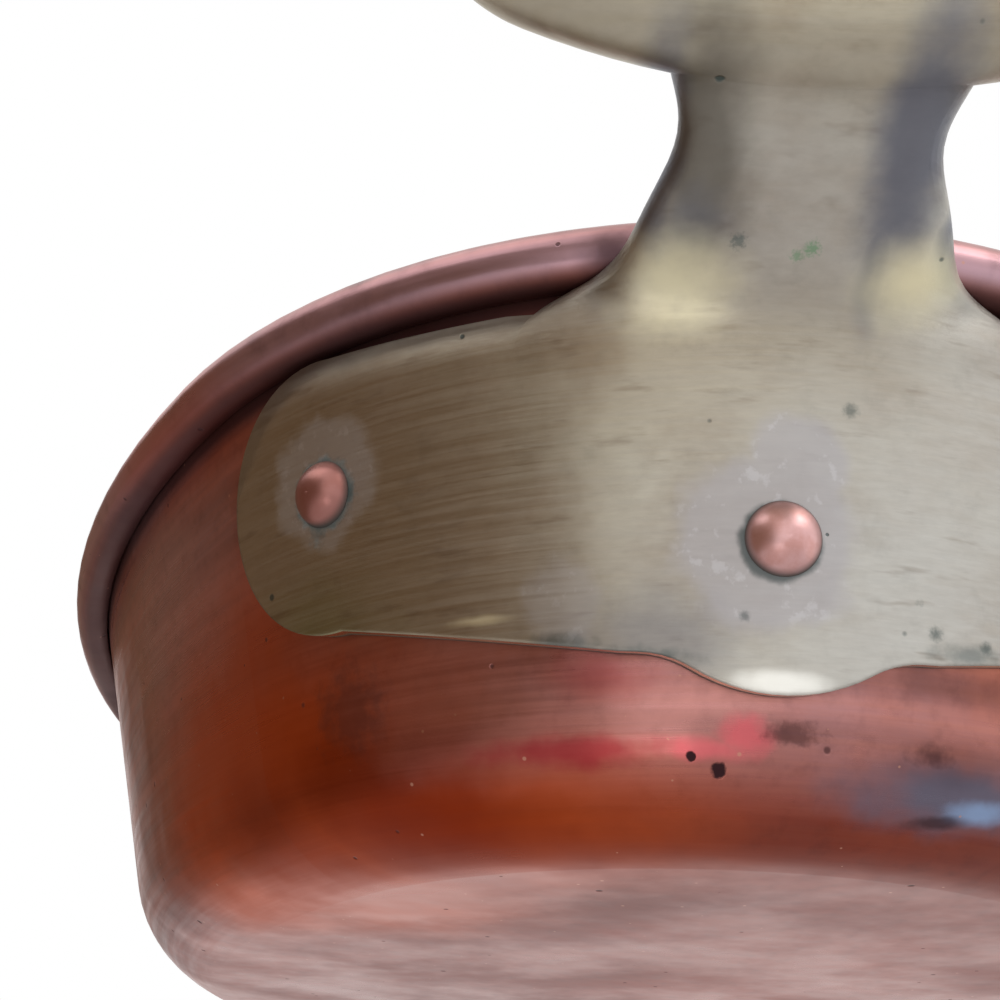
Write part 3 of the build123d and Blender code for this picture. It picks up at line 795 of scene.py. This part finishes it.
class RivetFinish(Finish):
    """Bright copper dome, with grime at its foot, tin on its inner end and, on the front rivets, a
    painted darker reflection.
    """

    name = "rivet_copper"
    colours = RivetColours()
    inner_end = (0.0030, 0.0034)
    head_foot = (0.0032, 0.0037)
    # Painted darker reflection on the front rivets.
    front_dark_reflection = (Patch((0.1300, -0.0461, 0.0354), 0.012, 0.85, 0.2, 0.1, 100.0),)

    def build(self, seat: Point) -> Material:
        """Make a rivet's nodes.

        Args:
            seat: middle of the head's foot, on the right-hand handle.

        Returns:
            The material.
        """
        g, e, c = self.graph, self.effects, self.colours
        depth = g.effect(e.wall_depth, Position=self.place)
        inside = g.step(depth, *self.inner_end)
        gap = g.vectors("DISTANCE", self.part_place, seat, out=1)
        foot = g.times(g.step(gap, *self.head_foot), g.maths("SUBTRACT", 1.0, inside))
        worn = self.cloud(scale=420.0, low=0.4, high=0.7)
        lines = self.brush(along=260.0, across=2200.0)
        colour = g.tint(g.times(worn, 0.5), linear(c.copper), linear(c.worn))
        colour = self.paint(colour, (
            (lines, 0.15, c.worn),
            (self.marks(self.front_dark_reflection), 1.0, c.dull),
            (foot, 0.9, c.grime),
            (inside, 1.0, c.tin),
        ))
        rough = g.plus(g.between(worn, 0.36, 0.44), g.times(foot, 0.3))
        metallic = g.between(foot, 1.0, 0.4)
        height = g.plus(g.noise(self.place, scale=260.0, detail=2.0), g.times(lines, 0.1))
        return self.close(colour, rough, metallic, height, relief=0.00002)


@dataclass(frozen=True)
class TinColours:
    """Colours of the wiped tin lining."""

    clean: Colour = (190, 188, 182)
    dull: Colour = (156, 154, 150)
    scorch: Colour = (120, 108, 92)
    bare: Colour = (176, 120, 96)


class TinFinish(Finish):
    """Hand-wiped tin, soft grey with faint swirls, scratches and cooking marks."""

    name = "wiped_tin"
    colours = TinColours()

    def build(self) -> Material:
        """Make the tin's nodes."""
        g, e, c = self.graph, self.effects, self.colours
        wipe = g.add("ShaderNodeTexNoise")
        g.feed(wipe.inputs["Vector"], g.vectors("MULTIPLY", self.place, (12.0, 60.0, 60.0)))
        wipe.inputs["Scale"].default_value = 1.0
        wipe.inputs["Detail"].default_value = 4.0
        wipe.inputs["Distortion"].default_value = 1.2
        cloud = self.cloud(scale=26.0, low=0.42, high=0.62)
        marks = self.cloud(scale=60.0, low=0.6, high=0.72)
        worn = self.cloud(scale=120.0, low=0.66, high=0.74)
        scratch = g.effect(e.brush, Position=self.part_place, Along=900.0, Across=30.0)
        pits = self.specks(scale=260.0, size=0.2, share=0.12)
        colour = g.tint(cloud, linear(c.clean), linear(c.dull))
        colour = self.paint(colour, (
            (wipe.outputs[0], 0.35, c.clean),
            (marks, 0.45, c.scorch),
            (worn, 0.35, c.bare),
            (pits, 0.6, c.scorch),
        ))
        rough = g.plus(g.between(cloud, 0.34, 0.48), g.times(scratch, 0.06))
        metallic = g.between(marks, 1.0, 0.7)
        height = g.plus(wipe.outputs[0], g.times(scratch, 0.06))
        return self.close(colour, rough, metallic, height, relief=0.0002)


@dataclass(frozen=True)
class WireColours:
    """Colours of the hidden steel wire."""

    steel: Colour = (120, 120, 122)
    rust: Colour = (92, 66, 50)


class WireFinish(Finish):
    """Drawn steel wire inside the rolled rim."""

    name = "drawn_steel"
    colours = WireColours()

    def build(self) -> Material:
        """Make the wire's nodes."""
        g, c = self.graph, self.colours
        rust = self.cloud(scale=180.0, low=0.5, high=0.7)
        lines = self.brush(along=60.0, across=3000.0)
        colour = g.tint(rust, linear(c.steel), linear(c.rust))
        rough = g.between(rust, 0.35, 0.7)
        metallic = g.between(rust, 1.0, 0.5)
        return self.close(colour, rough, metallic, lines, relief=0.00003)


class Side(Enum):
    """End of the dish that a handle is on, with its turn about Z."""

    RIGHT = 0.0
    LEFT = math.pi

    @property
    def word(self) -> str:
        """Name that the nodes of this end start with."""
        return self.name.lower()


def dress(node: str, material: Material) -> None:
    """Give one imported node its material, and report it."""
    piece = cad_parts[node]
    piece.data.materials.clear()
    piece.data.materials.append(material)
    LOG.info("%s wears %s", node, material.name)


@dataclass
class Pan:
    """Copper dish with its tin lining and rim wire."""

    effects: Effects

    def build(self) -> None:
        """Dress the dish's three nodes."""
        dress("dish_shell", CopperFinish(self.effects).build())
        dress("tin_lining", TinFinish(self.effects).build())
        dress("rim_wire", WireFinish(self.effects).build())


@dataclass
class Handle:
    """Cast handle with its three rivets."""

    effects: Effects
    side: Side
    seats: tuple[tuple[str, Point], ...] = (
        ("front", (0.1298, -0.0461, 0.0354)),
        ("middle", (0.1425, 0.0, 0.0257)),
        ("back", (0.1298, 0.0461, 0.0354)),
    )

    def build(self) -> None:
        """Dress the casting and its rivets."""
        turn, word = self.side.value, self.side.word
        dress(f"{word}_handle", BrassFinish(self.effects, turn, f"_{word}").build())
        for place, seat in self.seats:
            finish = RivetFinish(self.effects, turn, f"_{word}_{place}")
            dress(f"{word}_{place}_rivet", finish.build(seat))


@dataclass(frozen=True)
class Lamp:
    """One square area lamp."""

    name: str
    place: Point
    size: float
    watts: float
    colour: Colour = (255, 255, 255)


@dataclass(frozen=True)
class Card:
    """Plain glowing card that the metal reflects and the camera doesn't see.

    Width runs along Y where the card faces along X or Z, and along X otherwise.
    """

    name: str
    place: Point
    width: float
    height: float
    faces: Point
    colour: Colour


@dataclass
class Studio:
    """Pale floor, white surroundings, soft lamps and darker cards beside and below."""

    floor_half: float = 8.0
    floor_drop: float = 0.0004
    floor_colour: Colour = (236, 234, 230)
    sky_level: float = 0.62
    lamps: tuple[Lamp, ...] = (
        Lamp("key", (0.65, 0.55, 0.75), 0.6, 2.6),
        Lamp("fill", (0.35, -0.5, 0.9), 0.8, 1.2),
        Lamp("window", (0.52, -0.12, -0.33), 0.16, 0.11),
    )
    cards: tuple[Card, ...] = (
        Card("side_card", (-0.2, -0.9, 0.0), 2.2, 1.4, (0.0, 1.0, 0.0), (124, 102, 84)),
        Card("front_card", (0.87, -0.89, 0.0), 1.1, 1.4, (-0.6, 0.8, 0.0), (126, 105, 86)),
        Card("back_card", (0.95, 0.85, 0.0), 1.4, 1.2, (-0.8, -0.7, 0.0), (240, 240, 242)),
        Card("low_card", (0.3, 0.0, -0.6), 2.6, 2.4, (0.0, 0.0, 1.0), (206, 203, 203)),
    )
    aim: Point = (0.10, 0.0, 0.03)

    def build(self) -> None:
        """Make the world, the floor and the lamps."""
        self._world()
        self._floor()
        for lamp in self.lamps:
            self._lamp(lamp)
        for card in self.cards:
            self._card(card)

    def _world(self) -> None:
        """White to the camera and in reflections, and a plain level of light elsewhere."""
        world = bpy.data.worlds.new("studio")
        world.use_nodes = True
        world.node_tree.nodes.clear()
        g = Graph(world.node_tree)
        path = g.add("ShaderNodeLightPath")
        rays = ("Is Camera Ray", "Is Glossy Ray", "Is Transmission Ray")
        seen = g.larger(*(path.outputs[ray] for ray in rays))
        sky = g.add("ShaderNodeBackground")
        sky.inputs["Color"].default_value = (1.0, 1.0, 1.0, 1.0)
        g.feed(sky.inputs["Strength"], g.between(seen, self.sky_level, 1.0))
        out = g.add("ShaderNodeOutputWorld")
        g.feed(out.inputs["Surface"], sky.outputs[0])
        bpy.context.scene.world = world

    def _floor(self) -> None:
        """Plain floor that is clear from beneath, where the photograph was taken from."""
        shape = bmesh.new()
        bmesh.ops.create_grid(shape, x_segments=1, y_segments=1, size=self.floor_half)
        bmesh.ops.translate(shape, verts=shape.verts, vec=(0.0, 0.0, -self.floor_drop))
        material, g = new_material("floor_paint")
        floor = self._object("floor", shape, material)
        floor.visible_glossy = False
        floor.visible_shadow = False
        floor.visible_diffuse = False
        paint = g.add("ShaderNodeBsdfPrincipled")
        paint.inputs["Base Color"].default_value = linear(self.floor_colour)
        paint.inputs["Roughness"].default_value = 0.9
        clear = g.add("ShaderNodeBsdfTransparent")
        side = g.add("ShaderNodeNewGeometry")
        mix = g.add("ShaderNodeMixShader")
        g.feed(mix.inputs[0], side.outputs["Backfacing"])
        g.feed(mix.inputs[1], paint.outputs[0])
        g.feed(mix.inputs[2], clear.outputs[0])
        out = g.add("ShaderNodeOutputMaterial")
        g.feed(out.inputs["Surface"], mix.outputs[0])

    @staticmethod
    def _object(name: str, shape: bmesh.types.BMesh, material: Material) -> bpy.types.Object:
        """Turn a shape into an object in the scene, with one material."""
        mesh = bpy.data.meshes.new(name)
        shape.to_mesh(mesh)
        shape.free()
        mesh.materials.append(material)
        made = bpy.data.objects.new(name, mesh)
        bpy.context.scene.collection.objects.link(made)
        return made

    def _card(self, card: Card) -> None:
        """Make one card, square to the way it faces, that glows evenly with its colour."""
        shape = bmesh.new()
        bmesh.ops.create_grid(shape, x_segments=1, y_segments=1, size=0.5)
        bmesh.ops.scale(shape, verts=shape.verts, vec=(card.width, card.height, 1.0))
        turn = Vector(card.faces).to_track_quat("Z", "Y").to_matrix().to_4x4()
        bmesh.ops.transform(shape, verts=shape.verts, matrix=Matrix.Translation(card.place) @ turn)
        material, g = new_material(f"{card.name}_paint")
        piece = self._object(card.name, shape, material)
        piece.visible_camera = False
        piece.visible_shadow = False
        piece.visible_diffuse = False
        paint = g.add("ShaderNodeEmission")
        paint.inputs["Color"].default_value = linear(card.colour)
        paint.inputs["Strength"].default_value = 1.0
        out = g.add("ShaderNodeOutputMaterial")
        g.feed(out.inputs["Surface"], paint.outputs[0])

    def _lamp(self, lamp: Lamp) -> None:
        """Place one lamp and turn it toward the dish."""
        data = bpy.data.lights.new(lamp.name, "AREA")
        data.size = lamp.size
        data.energy = lamp.watts
        data.color = linear(lamp.colour)[:3]
        piece = bpy.data.objects.new(lamp.name, data)
        piece.location = lamp.place
        way = Vector(self.aim) - Vector(lamp.place)
        piece.rotation_euler = way.to_track_quat("-Z", "Y").to_euler()
        bpy.context.scene.collection.objects.link(piece)


@dataclass(frozen=True)
class PhotoCamera:
    """Camera that stands where the photograph was taken from, below the rim's end."""

    aim: Point = (0.1497, -0.0267, 0.0244)
    distance: float = 0.1095
    azimuth: float = math.radians(1.03)
    elevation: float = math.radians(-29.3)
    roll: float = math.radians(3.07)
    lens: float = 44.42
    sensor: float = 36.0

    def build(self) -> None:
        """Make the camera and hand it to the scene."""
        flat = math.cos(self.elevation)
        back = Vector(
            (math.cos(self.azimuth) * flat, math.sin(self.azimuth) * flat, math.sin(self.elevation))
        )
        right = (-back).cross(Vector((0.0, 0.0, 1.0))).normalized()
        up = right.cross(-back)
        lean, lift = math.cos(self.roll), math.sin(self.roll)
        columns = (right * lean + up * lift, up * lean - right * lift, back)
        turn = Matrix(columns).transposed().to_4x4()
        data = bpy.data.cameras.new("photo_camera")
        data.lens = self.lens
        data.sensor_width = self.sensor
        data.clip_start, data.clip_end = 0.01, 50.0
        camera = bpy.data.objects.new("photo_camera", data)
        camera.matrix_world = Matrix.Translation(Vector(self.aim) + back * self.distance) @ turn
        bpy.context.scene.collection.objects.link(camera)
        bpy.context.scene.camera = camera


def write_size() -> None:
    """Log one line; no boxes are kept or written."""
    LOG.info("boxes written")


def main() -> None:
    """Dress every piece, then set the studio and the camera."""
    logging.basicConfig(level=logging.INFO, format="%(message)s")
    effects = Effects()
    Pan(effects).build()
    for side in Side:
        Handle(effects, side).build()
    Studio().build()
    PhotoCamera().build()
    bpy.context.scene.view_settings.view_transform = "Standard"
    write_size()


if __name__ == "__main__":
    main()
